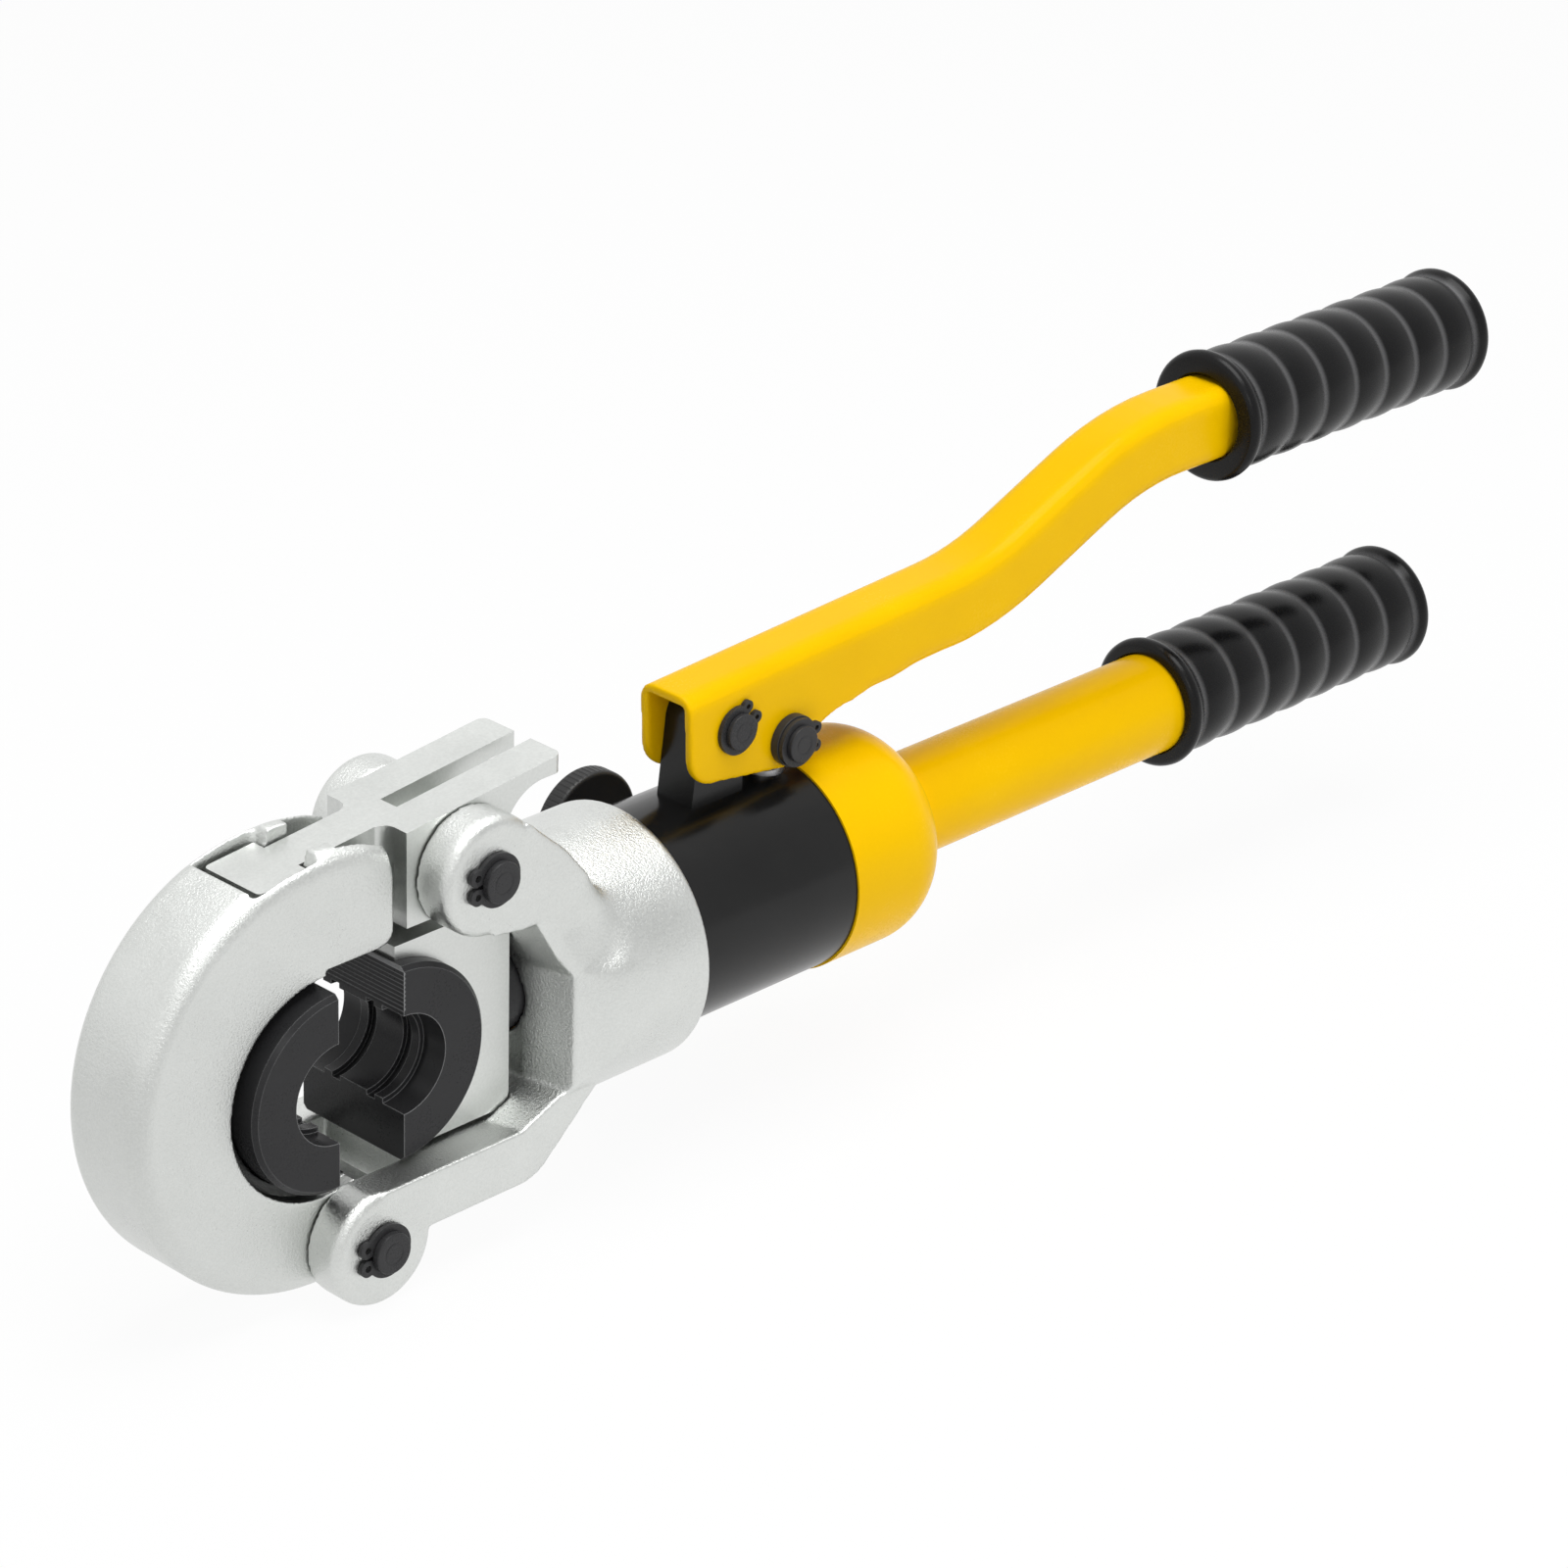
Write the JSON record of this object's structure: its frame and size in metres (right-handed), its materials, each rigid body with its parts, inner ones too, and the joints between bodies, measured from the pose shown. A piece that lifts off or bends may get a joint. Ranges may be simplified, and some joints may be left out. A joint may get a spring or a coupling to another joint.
{
  "type": "hydraulic crimping tool",
  "caption": "Hand-pumped hydraulic crimping tool with a hinged C-shaped jaw, a latch, a pair of round dies, a cylinder, a pump lever and two ribbed grips.",
  "frame": {"origin": "centre of the crimp bore, on the parting plane of the die in the jaw", "axes": "+X along the ram towards the handles, +Y along the crimp bore, +Z towards the pump lever"},
  "size_m": [0.502, 0.0771, 0.1615],
  "materials": {
    "forged_zinc": "zinc-plated forging, satin",
    "machined_zinc": "zinc-plated machined steel, satin",
    "black_oxide": "black-oxidised steel, satin",
    "black_paint": "black coating, satin",
    "yellow_paint": "yellow powder coat, satin",
    "black_rubber": "moulded, matt",
    "black_plastic": "moulded, matt",
    "bright_steel": "ground",
    "bronze": "turned",
    "seal_rubber": "moulded"
  },
  "bodies": {
    "frame": {"yoke": "forged_zinc", "hinge_pin": "black_oxide", "latch_pin": "black_oxide", "head_circlips": "black_oxide", "ram_bush": "bronze", "return_spring": "bright_steel", "cylinder": "black_paint", "valve_balls": "bright_steel", "valve_plugs": "bronze", "plunger_gland": "bright_steel", "plunger_seal": "seal_rubber", "release_gland": "black_oxide", "end_cap": "yellow_paint", "handle_tube": "yellow_paint", "oil_bladder": "seal_rubber", "handle_grip": "black_rubber"},
    "jaw": {"jaw": "forged_zinc", "jaw_die": "black_oxide", "jaw_dowel": "bright_steel"},
    "latch": {"latch": "machined_zinc"},
    "ram": {"die_holder": "machined_zinc", "ram_die": "black_oxide", "ram_dowel": "bright_steel", "ram": "black_oxide", "holder_screw": "black_oxide", "piston_seal": "seal_rubber"},
    "lever": {"lever": "yellow_paint", "fulcrum_pin": "black_oxide", "plunger_pin": "black_oxide", "plunger_washers": "black_oxide", "lever_circlips": "black_oxide", "lever_grip": "black_rubber"},
    "plunger": {"plunger": "bright_steel"},
    "release": {"release_spindle": "bright_steel", "release_knob": "black_plastic"}
  },
  "joints": [
    {"name": "ram_slide", "type": "slide", "parent": "frame", "child": "ram", "axis": [-1, 0, 0], "range_m": [0, 0.0206], "stiffness_N_per_m": 1500, "springref_m": -0.02, "deforming": ["return_spring"]},
    {"name": "latch_pivot", "type": "hinge", "parent": "frame", "child": "latch", "pos_m": [0.0447, 0, 0.046], "axis": [0, 1, 0], "range_deg": [0, 24]},
    {"name": "jaw_hinge", "type": "hinge", "parent": "frame", "child": "jaw", "pos_m": [0.0085, 0, -0.044], "axis": [0, -1, 0], "range_deg": [0, 0.25]},
    {"name": "lever_swing", "type": "hinge", "parent": "frame", "child": "lever", "pos_m": [0.1442, 0, 0.0495], "axis": [0, -1, 0], "range_deg": [0, 42]},
    {"name": "plunger_slide", "type": "slide", "parent": "frame", "child": "plunger", "axis": [0, 0, 1], "range_m": [0, 0.0158]},
    {"name": "release_turn", "type": "hinge", "parent": "frame", "child": "release", "pos_m": [0.1372, 0.036, 0.007], "axis": [0, 1, 0], "range_deg": [0, 180]}
  ],
  "couplings": [
    {"joint": "plunger_slide", "follows": "lever_swing", "m_per_rad": 0.02125}
  ]
}
